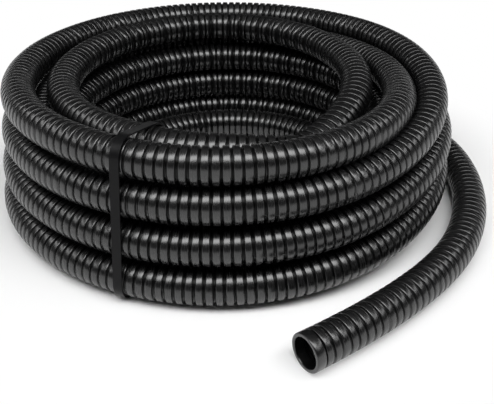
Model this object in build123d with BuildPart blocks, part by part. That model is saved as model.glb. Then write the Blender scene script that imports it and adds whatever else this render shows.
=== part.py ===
"""Coil of 25 mm corrugated conduit with one free end, tied by one flat strap. Millimetres, Z up."""
import os
from math import cos, hypot, radians, sin

from build123d import *

os.makedirs("parts", exist_ok=True)

# Conduit section
CREST_R = 12.5
RIB_HEIGHT = 1.8
WALL = 0.7
RIB_PITCH = 6.2
GROOVE_WIDTH = 1.8
COLLAR_LENGTH = 6.5
RIB_SIDES = 8

# Turns of the coil: radius at the middle of the tube, and rise from one turn to the next
OUTER_TURN_R = 172.0
OUTER_TURNS = 4
OUTER_RISE = 28.0
OUTER_SET_IN = 4.0
BUNDLE_WIDTH = 45.0
INNER_TURNS = 4
INNER_RISE = 25.8
MIDDLE_TURN_DROP = 25.5
LAST_TURN_GAP = 0.5
TURN_SIDES = 8
CORE_GROWTH = 7.0

# Free end, seen from above: where it leaves the lowest outer turn, then its corners and its mouth,
# each as a distance out from that turn and an angle about the coil's axis, and its bend radii
LEAVE_ANGLE = 50.0
FREE_CORNERS = [(34.0, 14.9), (38.7, -20.0), (50.0, -52.3)]
FREE_MOUTH = (64.6, -77.8)
FREE_BENDS = (120.0, 170.0, 200.0)
RIB_CLEARANCE = 0.4
BORE_LENGTH = 140.0

# Strap
STRAP_WIDTH = 6.5
STRAP_THICKNESS = 1.0
STRAP_CLEARANCE = 0.3
STRAP_ANGLE = -111.0

root_r = CREST_R - RIB_HEIGHT
bore_r = root_r - WALL
rib_width = RIB_PITCH - GROOVE_WIDTH
floor_lift = STRAP_CLEARANCE + STRAP_THICKNESS
low = floor_lift + CREST_R

# Centres of the turns in the coil's half section, (radius, height).
# Each outer turn sits a little inside the one below it.
outer = [(OUTER_TURN_R - i * OUTER_SET_IN, low + i * OUTER_RISE) for i in range(OUTER_TURNS)]
inner_r = OUTER_TURN_R - BUNDLE_WIDTH
inner = [(inner_r, low + i * INNER_RISE) for i in range(INNER_TURNS)]
top_r, top_z = outer[-1]
middle = ((top_r + inner_r) / 2, top_z - MIDDLE_TURN_DROP)
last = (inner_r - 2 * CREST_R - LAST_TURN_GAP, low)
turns = outer + [middle] + inner + [last]
core = outer + [middle] + inner[:0:-1] + [last]


def point_out(distance, angle):
    """A point level with the lowest turn, some way out from it."""
    radius = OUTER_TURN_R + distance
    return radius * cos(radians(angle)), radius * sin(radians(angle)), low


free_points = [point_out(d, angle) for d, angle in [(0.0, LEAVE_ANGLE), *FREE_CORNERS, FREE_MOUTH]]

with BuildLine() as free_route:
    FilletPolyline(*free_points, radius=FREE_BENDS)
route = free_route.wires()[0]
ribbed_length = route.length - COLLAR_LENGTH
period_count = int(ribbed_length // RIB_PITCH)


def planes_along(shift):
    """Planes across the free end, one rib apart, counted back from the collar."""
    distances = [ribbed_length - (i + shift) * RIB_PITCH for i in range(period_count)]
    return [Plane(route.location_at(d, position_mode=PositionMode.LENGTH)) for d in distances]


# Ribs begin where they clear the lowest turn
clear_r = OUTER_TURN_R + 2 * CREST_R + RIB_CLEARANCE
rib_planes = [p for p in planes_along(0.5) if hypot(p.origin.X, p.origin.Y) > clear_r]
bore_route = route.trim(1 - BORE_LENGTH / route.length, 1.0)

with BuildPart() as conduit:
    # The wound turns: one turned solid, scalloped by the turns all round its section
    with BuildSketch(Plane.XZ):
        with BuildLine():
            Polyline(*core, close=True)
        make_face()
        offset(amount=CORE_GROWTH)
        with Locations(*turns):
            RegularPolygon(CREST_R, TURN_SIDES, rotation=180 / TURN_SIDES)
    revolve(axis=Axis.Z)

    # The free end: a tube in short runs that meet inside the ribs, the ribs, and the mouth's plain collar
    with BuildSketch(*planes_along(0)):
        RegularPolygon(root_r, RIB_SIDES, major_radius=False)
    extrude(amount=RIB_PITCH / 2, both=True)
    with BuildSketch(*rib_planes):
        RegularPolygon(CREST_R, RIB_SIDES)
    extrude(amount=rib_width / 2, both=True)
    with BuildSketch(Plane(route.location_at(1))):
        Circle(CREST_R)
    extrude(amount=-COLLAR_LENGTH)
    with BuildSketch(Plane(bore_route.location_at(0))):
        Circle(bore_r)
    sweep(path=bore_route, mode=Mode.SUBTRACT)

strap_side = Vector(cos(radians(STRAP_ANGLE)), sin(radians(STRAP_ANGLE)), 0)
strap_plane = Plane(origin=(0, 0, 0), x_dir=strap_side, z_dir=strap_side.cross(Vector(0, 0, 1)))
strap_corners = [outer[0], outer[-1], inner[-1], last]
strap_inside = CREST_R + STRAP_CLEARANCE

with BuildPart() as strap:
    # One band pulled straight round the bundle's four outermost turns
    with BuildSketch(strap_plane):
        with BuildLine():
            Polyline(*strap_corners, close=True)
        make_face()
        offset(amount=strap_inside + STRAP_THICKNESS)
    extrude(amount=STRAP_WIDTH / 2, both=True)
    with BuildSketch(strap_plane):
        with BuildLine():
            Polyline(*strap_corners, close=True)
        make_face()
        offset(amount=strap_inside)
    extrude(amount=STRAP_WIDTH / 2, both=True, mode=Mode.SUBTRACT)

# The origin is under the middle of the whole part, on the floor
box = Compound([conduit.part, strap.part]).bounding_box()
place = Location((-(box.min.X + box.max.X) / 2, -(box.min.Y + box.max.Y) / 2, -box.min.Z))

conduit.part.move(place)
conduit.part.label = "conduit"
export_step(conduit.part, "parts/conduit.step")

strap.part.move(place)
strap.part.label = "strap"
export_step(strap.part, "parts/strap.step")

for piece in (conduit.part, strap.part):
    print(piece.label, len(piece.solids()), "solid, volume", round(piece.volume), "valid", piece.is_valid)
mouth = place * route.location_at(1)
print("coil axis at", [round(v, 3) for v in place.position], "box", box.size)
print("mouth", [round(v, 3) for v in mouth.position], "axis", [round(v, 5) for v in (route % 1)])
print("route length", round(route.length, 2), "ribs", len(rib_planes), "bend radii", FREE_BENDS)
print("runs and arcs", [round(e.length, 2) for e in route.edges()])
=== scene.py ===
# %% [markdown]
# # A coil of corrugated conduit
#
# The object is about ten metres of black corrugated conduit, wound into a coil that lies on the floor and
# is tied by one strap. One end is left free and shows its open mouth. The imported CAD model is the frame: a
# turned coil with a ribbed free end, and the strap. Here the conduit is wound again as one long tube along
# a smooth route, so that every turn shows its ribs and the turns climb and cross as in the photograph.

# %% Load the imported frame
from math import cos, pi, radians, sin

import bmesh
import bpy
from mathutils import Matrix, Vector


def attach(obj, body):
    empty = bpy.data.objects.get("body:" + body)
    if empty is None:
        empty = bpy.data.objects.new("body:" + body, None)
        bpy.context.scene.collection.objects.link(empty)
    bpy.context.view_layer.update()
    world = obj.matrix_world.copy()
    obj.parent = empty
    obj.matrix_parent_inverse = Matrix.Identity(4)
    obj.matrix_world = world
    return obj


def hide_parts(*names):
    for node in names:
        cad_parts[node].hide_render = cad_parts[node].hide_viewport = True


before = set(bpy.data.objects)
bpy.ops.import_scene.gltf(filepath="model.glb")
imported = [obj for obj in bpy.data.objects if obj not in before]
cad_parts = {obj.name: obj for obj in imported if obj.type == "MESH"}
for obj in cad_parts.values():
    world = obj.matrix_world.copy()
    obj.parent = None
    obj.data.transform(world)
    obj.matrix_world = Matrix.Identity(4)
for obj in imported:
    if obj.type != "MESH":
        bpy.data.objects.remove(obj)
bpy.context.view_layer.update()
MM = 0.001

# %% [markdown]
# ## Sizes
#
# These repeat the values of the CAD source, so that the visual model stays where the solids are: a 25 mm
# conduit, its rib pitch, its plain collar at the mouth, and the place of the coil's axis on the floor. The
# coil stands on the strap that runs under it, so its turns lie a little above the floor.

# %% Sizes
CREST_R = 12.5 * MM
ROOT_R = 10.7 * MM
WALL = 0.7 * MM
BORE_R = ROOT_R - WALL
RIB_PITCH = 6.2 * MM
COLLAR_LENGTH = 6.5 * MM
OUTER_TURN_R = 172.0
LIFT = 1.3
AXIS = Vector((-13.781, 29.098, 0.0)) * MM
print("conduit", 2000 * CREST_R, "mm, rib pitch", 1000 * RIB_PITCH, "mm")

# %% [markdown]
# ## Camera
#
# The photograph looks down at about 31 degrees from 0.6 m away. The lens follows from the focal length that
# fits the turns in the photograph, counted in its pixels, and from the width of Blender's sensor.

# %% Camera
PHOTO_WIDTH = 494
FOCAL_PX = 668
SENSOR_WIDTH = 36.0
VIEW_ELEVATION = radians(31.1)
VIEW_DISTANCE = 600 * MM
AIM_FROM_AXIS = Vector((17.0, 0.0, -25.75)) * MM
aim = AXIS + AIM_FROM_AXIS
camera_place = aim + VIEW_DISTANCE * Vector((0.0, -cos(VIEW_ELEVATION), sin(VIEW_ELEVATION)))
camera_data = bpy.data.cameras.new("camera")
camera_data.sensor_fit = "HORIZONTAL"
camera_data.sensor_width = SENSOR_WIDTH
camera_data.lens = SENSOR_WIDTH * FOCAL_PX / PHOTO_WIDTH
camera_data.clip_start = 10 * MM
camera = bpy.data.objects.new("camera", camera_data)
bpy.context.scene.collection.objects.link(camera)
camera.location = camera_place
camera.rotation_euler = (aim - camera_place).to_track_quat("-Z", "Y").to_euler()
bpy.context.scene.camera = camera
print("camera", [round(v, 3) for v in camera_place], "lens", round(camera_data.lens, 1), "mm")

# %% [markdown]
# ## Route
#
# Ten metres of stiff tube can't be drawn point by point, but a coil is easily told as a table: at this
# angle the middle of the tube is this far from the axis and this high. Four outer turns climb at the right.
# The top one moves in and sinks between the layers, goes down to the floor, and makes the inner layer,
# which climbs at the front, where the outer turns hide it, and tucks its end in under the top turn. Every
# 20 degrees the table gives one control point of a NURBS spline. Such a spline runs inside its control
# points, so their radius is a little larger than the turn's. The free end has its own short table: how far
# it lies out from the lowest turn, at which angle, and how high.

# %% The free end and the table of turns
FREE_END = [
    (64.6, -77.8, 12.5), (50.0, -52.3, 12.5), (38.7, -20.0, 12.5), (34.0, 14.9, 12.8), (0.0, 50.0, 13.8),
]
TURNS = [
    (72, 172, 12.5), (270, 172, 12.5), (300, 171.5, 15), (330, 170.5, 25), (360, 169, 36),
    (390, 168, 40), (450, 168, 40.5), (630, 168, 40.5), (660, 167.5, 43), (690, 168, 53),
    (720, 169, 64), (750, 166.5, 68), (810, 164, 68.5), (990, 164, 68.5), (1020, 163.5, 71),
    (1050, 162.5, 81), (1080, 161, 92), (1110, 160, 96), (1170, 160, 96.5), (1310, 160, 96.5),
    (1345, 160, 93.8), (1380, 155, 94.5), (1410, 143, 94.5), (1440, 131, 91.5), (1470, 130.5, 87.5),
    (1500, 137, 83.5), (1530, 143.5, 79), (1620, 144, 76), (1680, 144.5, 73), (1710, 145, 71),
    (1730, 145.5, 66), (1760, 146, 58), (1800, 146.5, 53.5), (1890, 146.5, 52), (1935, 146.5, 46),
    (1980, 147, 30), (2050, 147.5, 26.5), (2100, 146, 24), (2130, 142, 20), (2160, 136, 16.5),
    (2190, 130, 13.5), (2220, 127, 12.5), (2370, 127, 12.5), (2400, 125.5, 12.5), (2430, 120, 12.5),
    (2460, 111.5, 12.5), (2490, 105, 12.5), (2520, 101.5, 12.5), (2550, 95, 12.5), (2580, 88, 12.5),
    (2610, 84, 12.5), (2640, 86, 12.5), (2670, 91, 12.5), (2700, 97, 12.5), (2730, 101, 13),
    (2760, 103, 20), (2790, 107.5, 32), (2820, 114, 37.5), (2850, 121, 38.3), (2880, 126, 38.3),
    (2910, 127, 38.3), (3090, 127, 38.3), (3120, 127, 43), (3150, 127, 51.5), (3180, 127, 59.5),
    (3210, 127, 63), (3240, 127, 64), (3270, 127, 64.2), (3485, 127, 64.2), (3510, 125, 66.5),
    (3530, 119.5, 72), (3550, 112.5, 79.5), (3570, 107, 87), (3590, 104, 92), (3610, 103.5, 94),
    (3630, 106, 94), (3660, 118, 94), (3690, 130, 94.5), (3720, 131.5, 94), (3780, 128, 91.5),
    (3840, 127, 89.5), (3870, 127.5, 88), (3892, 133, 85),
]
STEP = 20
SPLINE_CUT = 1 / (0.75 + 0.25 * cos(radians(STEP)))
print(len(TURNS), "rows,", round((TURNS[-1][0] - TURNS[0][0]) / 360, 1), "turns")

# %% Control points


def turn_at(angle):
    """Radius and height of the tube's middle at an angle counted on from the first turn."""
    for (a, r, z), (b, r2, z2) in zip(TURNS, TURNS[1:]):
        if angle <= b:
            t = max(0.0, (angle - a) / (b - a))
            return r + t * (r2 - r), z + t * (z2 - z)
    return TURNS[-1][1:]


polar = [(OUTER_TURN_R + out, angle, z) for out, angle, z in FREE_END]
for angle in range(TURNS[0][0], TURNS[-1][0] + 1, STEP):
    turn_r, turn_z = turn_at(angle)
    polar.append((turn_r * SPLINE_CUT, angle, turn_z + LIFT))
print(len(polar), "control points")

# %% The route as a NURBS spline
POINTS_PER_SPAN = 10
route_curve = bpy.data.curves.new("route", "CURVE")
route_curve.dimensions = "3D"
route_curve.resolution_u = POINTS_PER_SPAN
spline = route_curve.splines.new("NURBS")
spline.points.add(len(polar) - 1)
for point, (r, angle, z) in zip(spline.points, polar):
    spot = AXIS + Vector((r * cos(radians(angle)), r * sin(radians(angle)), z)) * MM
    point.co = (*spot, 1.0)
spline.order_u = 3
spline.use_endpoint_u = True
route_object = bpy.data.objects.new("route", route_curve)
bpy.context.scene.collection.objects.link(route_object)
bpy.context.view_layer.update()
route_mesh = bpy.data.meshes.new_from_object(route_object)
bpy.data.objects.remove(route_object)
line = [v.co.copy() for v in route_mesh.vertices]
reach = [0.0]
for a, b in zip(line, line[1:]):
    reach.append(reach[-1] + (b - a).length)
print("route", len(line), "points", round(reach[-1], 3), "m long")

# %% [markdown]
# ## The corrugated wall
#
# Corrugated conduit is blown into a chain of moulds, so every rib is the same: a broad flat crest with
# bevelled edges, and a groove with steep walls. Here the groove ends in a sharp bottom. It has no flat
# strip that could mirror a lamp, so it stays black. A screw modifier or an array would have to be bent
# along the route afterwards. Instead a Geometry Nodes tree slides a row of points along the route, eleven
# to every rib, and sweeps a circle along them that is wide on the crest and narrow in the groove. It also
# stores how far along the conduit each point lies and how high it is on its rib, for the material.

# %% Rib profile and the node helper
# Each point of a rib: how far into the rib pitch it lies, and how high from the root, 0, to the crest, 1
RIB_PROFILE = [
    (0.00, 0.0), (0.13, 0.30), (0.15, 0.80), (0.16, 0.86), (0.215, 0.985), (0.24, 1.0),
    (0.76, 1.0), (0.785, 0.985), (0.84, 0.86), (0.85, 0.80), (0.87, 0.30),
]
PER_RIB = len(RIB_PROFILE)


def add(tree, kind, inputs=None, **settings):
    """Adds a node, sets its properties, and links or sets its inputs by name or number."""
    node = tree.nodes.new(kind)
    for key, value in settings.items():
        setattr(node, key, value)
    for key, value in (inputs or {}).items():
        if isinstance(value, bpy.types.NodeSocket):
            tree.links.new(value, node.inputs[key])
        else:
            node.inputs[key].default_value = value
    return node


print(PER_RIB, "points to every rib")

# %% The tree's inputs
wall = bpy.data.node_groups.new("corrugated_wall", "GeometryNodeTree")
wall.interface.new_socket("Geometry", in_out="INPUT", socket_type="NodeSocketGeometry")
for name in ("First Rib", "Ribs", "Sides"):
    wall.interface.new_socket(name, in_out="INPUT", socket_type="NodeSocketInt")
for name in ("Start", "Pitch", "Crest Radius", "Root Radius"):
    wall.interface.new_socket(name, in_out="INPUT", socket_type="NodeSocketFloat")
wall.interface.new_socket("Material", in_out="INPUT", socket_type="NodeSocketMaterial")
wall.interface.new_socket("Geometry", in_out="OUTPUT", socket_type="NodeSocketGeometry")
given = add(wall, "NodeGroupInput").outputs
print("wall inputs", [socket.name for socket in given if socket.name])

# %% Where each point lies in its rib
index = add(wall, "GeometryNodeInputIndex").outputs[0]
rib = add(wall, "FunctionNodeIntegerMath", {0: index, 1: PER_RIB}, operation="DIVIDE_FLOOR").outputs[0]
step = add(wall, "FunctionNodeIntegerMath", {0: index, 1: PER_RIB}, operation="MODULO").outputs[0]
part_of_rib = add(wall, "GeometryNodeIndexSwitch", data_type="FLOAT")
crest_share = add(wall, "GeometryNodeIndexSwitch", data_type="FLOAT")
for number, node in enumerate((part_of_rib, crest_share)):
    while len(node.index_switch_items) < PER_RIB:
        node.index_switch_items.new()
    wall.links.new(step, node.inputs["Index"])
    for i, values in enumerate(RIB_PROFILE):
        node.inputs[i + 1].default_value = values[number]
crest = crest_share.outputs[0]
rib_number = add(wall, "ShaderNodeMath", {0: rib, 1: given["First Rib"]}, operation="ADD").outputs[0]
whole_and_part = {0: rib_number, 1: part_of_rib.outputs[0]}
ribs_in = add(wall, "ShaderNodeMath", whole_and_part, operation="ADD").outputs[0]
measured = {0: ribs_in, 1: given["Pitch"], 2: given["Start"]}
along = add(wall, "ShaderNodeMath", measured, operation="MULTIPLY_ADD").outputs[0]
print("place in the rib", len(wall.nodes), "nodes")

# %% The row of points
path = add(wall, "GeometryNodeMeshToCurve", {"Mesh": given["Geometry"]}).outputs[0]
sampled = {"Curves": path, "Length": along}
on_route = add(wall, "GeometryNodeSampleCurve", sampled, mode="LENGTH").outputs["Position"]
tally = {0: given["Ribs"], 1: float(PER_RIB), 2: 1.0}
count = add(wall, "ShaderNodeMath", tally, operation="MULTIPLY_ADD").outputs[0]
row = add(wall, "GeometryNodeCurvePrimitiveLine").outputs[0]
row = add(wall, "GeometryNodeResampleCurve", {"Curve": row, "Count": count}).outputs[0]
row = add(wall, "GeometryNodeSetPosition", {"Geometry": row, "Position": on_route}).outputs[0]
for name, value in (("crest", crest), ("along", along)):
    stored = {"Geometry": row, "Name": name, "Value": value}
    row = add(wall, "GeometryNodeStoreNamedAttribute", stored, domain="POINT").outputs[0]
print("row of points", len(wall.nodes), "nodes")

# %% The swept circle and its sharp groove bottoms
BOTTOM_SHARE = 0.01
limits = {"Value": crest, "To Min": given["Root Radius"], "To Max": given["Crest Radius"]}
radius = add(wall, "ShaderNodeMapRange", limits).outputs[0]
section = {"Resolution": given["Sides"], "Radius": 1.0}
circle = add(wall, "GeometryNodeCurvePrimitiveCircle", section).outputs[0]
swept = {"Curve": row, "Profile Curve": circle, "Scale": radius}
tube = add(wall, "GeometryNodeCurveToMesh", swept).outputs[0]
tube = add(wall, "GeometryNodeSetShadeSmooth", {"Geometry": tube}).outputs[0]
height = add(wall, "GeometryNodeInputNamedAttribute", {"Name": "crest"}, data_type="FLOAT").outputs[0]
bottom = add(wall, "ShaderNodeMath", {0: height, 1: BOTTOM_SHARE}, operation="LESS_THAN").outputs[0]
crease = {"Geometry": tube, "Selection": bottom, "Shade Smooth": False}
tube = add(wall, "GeometryNodeSetShadeSmooth", crease, domain="EDGE").outputs[0]
tube = add(wall, "GeometryNodeRealizeInstances", {"Geometry": tube}).outputs[0]
tube = add(wall, "GeometryNodeSetMaterial", {"Geometry": tube, "Material": given["Material"]}).outputs[0]
add(wall, "NodeGroupOutput", {"Geometry": tube})
print("wall tree", len(wall.nodes), "nodes")

# %% [markdown]
# ## Black polypropylene
#
# The conduit is blow-moulded polypropylene, coloured through with carbon black. The eye sees a near-black
# surface with a satin gloss, so its shape shows almost only by highlights. The crests are rubbed by
# handling in patches and are a little lighter there. The colour also darkens from the crest into the
# grooves, and that dark is painted shade. Fine lines from the moulds run round it and vary its gloss, and a
# faint grain breaks the highlights up. The lines and the grain are drawn coarser than real ones, because
# those would be too fine to show in the render.

# %% Colours and empty materials


def srgb(code):
    """Linear colour of an sRGB hex code."""
    parts = [int(code[i:i + 2], 16) / 255 for i in (1, 3, 5)]
    return tuple(c / 12.92 if c <= 0.04045 else ((c + 0.055) / 1.055) ** 2.4 for c in parts) + (1.0,)


def blank(name):
    """A new material and its empty node tree."""
    material = bpy.data.materials.new(name)
    material.use_nodes = True
    material.node_tree.nodes.clear()
    return material, material.node_tree


print("sRGB grey #808080 is", round(srgb("#808080")[0], 3), "in linear light")

# %% Black polypropylene
RUB_SIZE = 18 * MM
LINE_SIZE = 0.8 * MM
GRAIN_SIZE = 0.5 * MM
RELIEF = 0.03 * MM
SMOOTHEST = 0.2
ROUGHEST = 0.34
plastic, tree = blank("black_polypropylene")
where = add(tree, "ShaderNodeTexCoord").outputs["Object"]
on_crest = add(tree, "ShaderNodeAttribute", attribute_name="crest").outputs["Fac"]
far_along = add(tree, "ShaderNodeAttribute", attribute_name="along").outputs["Fac"]
patches = {"Vector": where, "Scale": 1 / RUB_SIZE, "Detail": 4.0}
rub = add(tree, "ShaderNodeTexNoise", patches).outputs["Fac"]
moulded = {"W": far_along, "Scale": 1 / LINE_SIZE}
lines = add(tree, "ShaderNodeTexNoise", moulded, noise_dimensions="1D").outputs["Fac"]
specks = {"Vector": where, "Scale": 1 / GRAIN_SIZE, "Detail": 3.0}
grain = add(tree, "ShaderNodeTexNoise", specks).outputs["Fac"]
# Painted shade and wear: the colour is darkest in the grooves, where shade falls, and lighter on the crests
# in rubbed patches
wear_and_groove_shade = add(tree, "ShaderNodeMath", {0: on_crest, 1: rub}, operation="MULTIPLY").outputs[0]
blacks = {0: wear_and_groove_shade, 6: srgb("#030303"), 7: srgb("#101011")}
colour = add(tree, "ShaderNodeMix", blacks, data_type="RGBA").outputs[2]
gloss = {"Value": lines, "To Min": SMOOTHEST, "To Max": ROUGHEST}
rough = add(tree, "ShaderNodeMapRange", gloss).outputs[0]
height = add(tree, "ShaderNodeMath", {0: lines, 1: grain}, operation="ADD").outputs[0]
bump = add(tree, "ShaderNodeBump", {"Height": height, "Strength": 0.25, "Distance": RELIEF}).outputs[0]
skin = {"Base Color": colour, "Roughness": rough, "Normal": bump, "IOR": 1.49, "Specular IOR Level": 0.95}
shader = add(tree, "ShaderNodeBsdfPrincipled", skin)
add(tree, "ShaderNodeOutputMaterial", {"Surface": shader.outputs[0]})
print(plastic.name, len(tree.nodes), "nodes")

# %% [markdown]
# ## Strap plastic
#
# The strap is drawn polyester band: dark grey, matt, with fine lines along its length that the drawing
# leaves. The lines vary only across the band, so the coordinates are turned until one axis runs across it.
# They too are drawn coarser than real ones, so that they show.

# %% Strap plastic
STRAP_ANGLE = radians(-111.0)
DRAW_LINE = 0.7 * MM
DRAW_RELIEF = 0.1 * MM
band, tree = blank("strap_polyester")
where = add(tree, "ShaderNodeTexCoord").outputs["Object"]
turned = add(tree, "ShaderNodeMapping", {"Vector": where, "Rotation": (0.0, 0.0, -STRAP_ANGLE)}).outputs[0]
across = add(tree, "ShaderNodeSeparateXYZ", {"Vector": turned}).outputs["Y"]
drawn = {"W": across, "Scale": 1 / DRAW_LINE}
lines = add(tree, "ShaderNodeTexNoise", drawn, noise_dimensions="1D").outputs["Fac"]
greys = {0: lines, 6: srgb("#0a0a0b"), 7: srgb("#141415")}
colour = add(tree, "ShaderNodeMix", greys, data_type="RGBA").outputs[2]
bump = add(tree, "ShaderNodeBump", {"Height": lines, "Strength": 0.8, "Distance": DRAW_RELIEF}).outputs[0]
skin = {"Base Color": colour, "Roughness": 0.36, "Normal": bump, "IOR": 1.57, "Specular IOR Level": 0.12}
shader = add(tree, "ShaderNodeBsdfPrincipled", skin)
add(tree, "ShaderNodeOutputMaterial", {"Surface": shader.outputs[0]})
print(band.name, len(tree.nodes), "nodes")

# %% [markdown]
# ## Wind the conduit
#
# One mesh of the whole conduit would be too heavy to edit or export, so the tree is run on the same route
# for one stretch after another, from one rib number to the next, and each result is kept as a plain mesh.
# The stretches meet in a groove, where no seam shows. The free end is seen closest and gets more sides.

# %% One stretch of conduit
ROW_SIDES = 22
END_SIDES = 40


def stretch(name, first, ribs, sides, crest_r=CREST_R, root_r=ROOT_R):
    """A plain mesh of corrugated wall along the route, from one rib on."""
    piece = bpy.data.objects.new(name, route_mesh.copy())
    bpy.context.scene.collection.objects.link(piece)
    modifier = piece.modifiers.new("wall", "NODES")
    modifier.node_group = wall
    values = {"First Rib": first, "Ribs": ribs, "Sides": sides, "Start": COLLAR_LENGTH, "Pitch": RIB_PITCH}
    values.update({"Crest Radius": crest_r, "Root Radius": root_r, "Material": plastic})
    for item in wall.interface.items_tree:
        if item.in_out == "INPUT" and item.name in values:
            modifier[item.identifier] = values[item.name]
    bpy.context.view_layer.update()
    mesh = bpy.data.meshes.new_from_object(piece.evaluated_get(bpy.context.evaluated_depsgraph_get()))
    piece.modifiers.clear()
    piece.data = mesh
    mesh.name = name
    print(name, 2 * len(mesh.polygons), "triangles")
    return piece


# %% Wind the conduit
FREE_RIBS = 72
PER_PIECE = 380
total_ribs = int((reach[-1] - 2 * COLLAR_LENGTH) / RIB_PITCH)
cuts = [("conduit_free_end", 0, FREE_RIBS)]
for name in ("conduit_low_rows", "conduit_high_rows", "conduit_inner_low", "conduit_inner_top"):
    first = cuts[-1][1] + cuts[-1][2]
    cuts.append((name, first, min(PER_PIECE, total_ribs - first)))
pieces = {}
for name, first, ribs in cuts:
    pieces[name] = stretch(name, first, ribs, END_SIDES if first == 0 else ROW_SIDES)
print(total_ribs, "ribs in", len(pieces), "stretches")

# %% [markdown]
# ## Cut ends
#
# The conduit is cut square at its ends. Behind the cut is a plain collar: a broad flat rim with small
# roundings, and then the inside of the corrugated wall, which is the same tree with smaller radii and its
# faces turned inwards. The rim is a profile of depth and radius, turned about the end of the route. The
# mouth of the free end is lined deep enough for the view into it. The other end is tucked in on top of the
# inner layer and shows from above.

# %% The rim of a cut end
# Depth behind the cut and radius, in millimetres
RIM_PROFILE = [
    (6.50, 10.70), (6.45, 11.90), (6.30, 12.35), (6.00, 12.50), (0.80, 12.50), (0.40, 12.42), (0.12, 12.18),
    (0.00, 11.80), (0.00, 10.55), (0.10, 10.22), (0.40, 10.02), (0.90, 10.00), (6.50, 10.00),
]
RIM_SIDES = 48


def rim(name, place, inward):
    """The cut end of the conduit, at a place on the route."""
    shape = bmesh.new()
    angles = [2 * pi * i / RIM_SIDES for i in range(RIM_SIDES)]
    loops = []
    for depth, r in RIM_PROFILE:
        loops.append([shape.verts.new((r * MM * cos(a), r * MM * sin(a), depth * MM)) for a in angles])
    for a, b in zip(loops, loops[1:]):
        for i in range(RIM_SIDES):
            j = (i + 1) % RIM_SIDES
            shape.faces.new((a[j], a[i], b[i], b[j])).smooth = True
    shape.transform(Matrix.Translation(place) @ inward.to_track_quat("Z", "Y").to_matrix().to_4x4())
    mesh = bpy.data.meshes.new(name)
    shape.to_mesh(mesh)
    shape.free()
    mesh.materials.append(plastic)
    # The rim counts as full crest, so it gets the lighter black of the wear and none of the painted groove
    # shade
    wear_and_groove_shade = mesh.attributes.new("crest", "FLOAT", "POINT")
    wear_and_groove_shade.data.foreach_set("value", [1.0] * len(mesh.vertices))
    piece = bpy.data.objects.new(name, mesh)
    bpy.context.scene.collection.objects.link(piece)
    return piece


print(len(RIM_PROFILE), "points in the profile of a rim")

# %% Finish both ends
MOUTH_LINED_RIBS = 22
TUCKED_LINED_RIBS = 5


def finish_end(piece, first, ribs, sides, cut, inward):
    """Joins a lining of some ribs and the rim at the cut to one stretch."""
    lining = stretch(piece.name + "_lining", first, ribs, sides, CREST_R - WALL, BORE_R)
    lining.data.flip_normals()
    joined = [piece, lining, rim(piece.name + "_rim", cut, inward)]
    with bpy.context.temp_override(active_object=piece, selected_editable_objects=joined):
        bpy.ops.object.join()
    print(piece.name, len(piece.data.polygons), "faces with its cut end")


finish_end(pieces["conduit_free_end"], 0, MOUTH_LINED_RIBS, END_SIDES, line[0], line[1] - line[0])
back = (line[-2] - line[-1]).normalized()
spare = reach[-1] - 2 * COLLAR_LENGTH - total_ribs * RIB_PITCH
tucked_cut = line[-1] + spare * back
first_lined = total_ribs - TUCKED_LINED_RIBS
finish_end(pieces["conduit_inner_top"], first_lined, TUCKED_LINED_RIBS, ROW_SIDES, tucked_cut, back)

# %% [markdown]
# ## Ride on the frame
#
# Each stretch follows the route's own points, hangs on the root body and stands for the CAD conduit,
# which is hidden. The strap keeps its CAD shape and gets its finish.


for name, first, ribs in cuts:
    piece = pieces[name]
    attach(piece, "root")
    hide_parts("conduit")
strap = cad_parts["strap"]
strap.data.materials.clear()
strap.data.materials.append(band)

# %% [markdown]
# ## Floor
#
# The photograph is a studio shot on white. Close to the coil the floor is white paper and keeps the coil's
# shadow. Further out it turns into a lit white ground, but only for the rays that show it: those from the
# camera, and those that the object mirrors or lets through. All other rays still meet paper, so the ground
# adds no light to the object. More or larger lamps would whiten the floor too, but they would turn the
# black plastic grey.

# %% White paper
# Distances from the coil's axis, in metres, where the paper starts to turn into lit ground and has turned
SHADOW_STAYS = 0.19
SHADOW_GONE = 0.31
WHITE = (1.0, 1.0, 1.0, 1.0)


def shown(tree):
    """1 for the rays that show the background itself, and 0 for those that only light the object."""
    rays = add(tree, "ShaderNodeLightPath").outputs
    seen = rays["Is Camera Ray"]
    for kind in ("Is Glossy Ray", "Is Transmission Ray"):
        seen = add(tree, "ShaderNodeMath", {0: seen, 1: rays[kind]}, operation="MAXIMUM").outputs[0]
    return seen


bpy.context.scene.view_settings.view_transform = "Standard"
white, tree = blank("white_paper")
where = add(tree, "ShaderNodeTexCoord").outputs["Object"]
offset = add(tree, "ShaderNodeVectorMath", {0: where, 1: tuple(AXIS)}, operation="SUBTRACT").outputs[0]
distance = add(tree, "ShaderNodeVectorMath", {0: offset}, operation="LENGTH").outputs["Value"]
ramp = {"Value": distance, "From Min": SHADOW_STAYS, "From Max": SHADOW_GONE}
outside = add(tree, "ShaderNodeMapRange", ramp, interpolation_type="SMOOTHSTEP").outputs[0]
paper = add(tree, "ShaderNodeBsdfDiffuse", {"Color": srgb("#fbfbfb")}).outputs[0]
lit = add(tree, "ShaderNodeEmission", {"Color": WHITE, "Strength": 1.0}).outputs[0]
share = add(tree, "ShaderNodeMath", {0: shown(tree), 1: outside}, operation="MULTIPLY").outputs[0]
surface = add(tree, "ShaderNodeMixShader", {0: share, 1: paper, 2: lit}).outputs[0]
add(tree, "ShaderNodeOutputMaterial", {"Surface": surface})
print(white.name, len(tree.nodes), "nodes")

# %% Floor
FLOOR_HALF = 30.0
ground = bmesh.new()
bmesh.ops.create_grid(ground, x_segments=8, y_segments=8, size=FLOOR_HALF)
ground_mesh = bpy.data.meshes.new("floor")
ground.to_mesh(ground_mesh)
ground.free()
ground_mesh.materials.append(white)
floor = bpy.data.objects.new("floor", ground_mesh)
bpy.context.scene.collection.objects.link(floor)
print("floor", len(ground_mesh.polygons), "faces")

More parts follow.
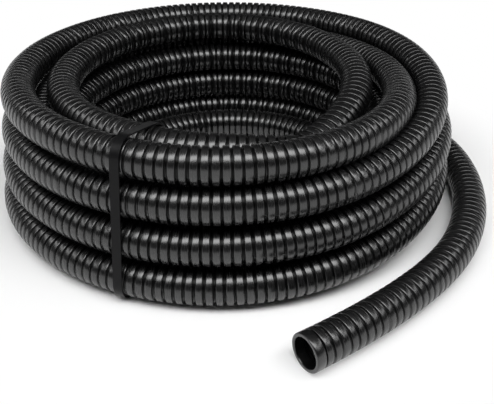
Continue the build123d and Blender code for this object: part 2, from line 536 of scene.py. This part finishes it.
# %% [markdown]
# ## Light
#
# One long strip softbox above and in front of the coil gives the bright band along the upper side of every
# turn. Two narrow strips at the sides draw the edges of the ribs there, a broad weak light overhead fills
# in, and the room itself is dim, which keeps the plastic black. Only a low band of the room is white, for
# the same rays as the floor, so that a view from low down stays white where it looks past the floor.

# %% Lamps


def softbox(name, place, width, depth, power):
    """A rectangular lamp that looks at the coil."""
    data = bpy.data.lights.new(name, "AREA")
    data.shape = "RECTANGLE"
    data.size = width
    data.size_y = depth
    data.energy = power
    lamp = bpy.data.objects.new(name, data)
    bpy.context.scene.collection.objects.link(lamp)
    lamp.location = place
    lamp.rotation_euler = (AXIS - Vector(place)).to_track_quat("-Z", "Y").to_euler()
    print(name, round(power / (pi * width * depth), 1), "W per square metre and steradian")


softbox("key_strip", (0.05, -0.48, 1.06), width=1.7, depth=0.52, power=15.5)
softbox("overhead_fill", (0.0, 0.1, 1.8), width=2.2, depth=2.2, power=2)
softbox("left_strip", (-1.0, 0.0, 0.75), width=1.2, depth=0.2, power=2.2)
softbox("right_strip", (1.0, 0.0, 0.75), width=1.2, depth=0.2, power=2.2)

# %% Room
# Sines of the angle above the horizon where the white band starts to fade and where it ends
BAND_FADES = 0.04
BAND_ENDS = 0.1
ROOM_STRENGTH = 0.04
world = bpy.data.worlds.new("studio")
bpy.context.scene.world = world
world.use_nodes = True
tree = world.node_tree
tree.nodes.clear()
way = add(tree, "ShaderNodeTexCoord").outputs["Generated"]
up = add(tree, "ShaderNodeSeparateXYZ", {"Vector": way}).outputs["Z"]
fade = {"Value": up, "From Min": BAND_FADES, "From Max": BAND_ENDS, "To Min": 1.0, "To Max": 0.0}
low = add(tree, "ShaderNodeMapRange", fade, interpolation_type="SMOOTHSTEP").outputs[0]
share = add(tree, "ShaderNodeMath", {0: shown(tree), 1: low}, operation="MULTIPLY").outputs[0]
levels = {"Value": share, "To Min": ROOM_STRENGTH, "To Max": 1.0}
strength = add(tree, "ShaderNodeMapRange", levels).outputs[0]
room = add(tree, "ShaderNodeBackground", {"Color": WHITE, "Strength": strength})
add(tree, "ShaderNodeOutputWorld", {"Surface": room.outputs[0]})
print(world.name, len(tree.nodes), "nodes")
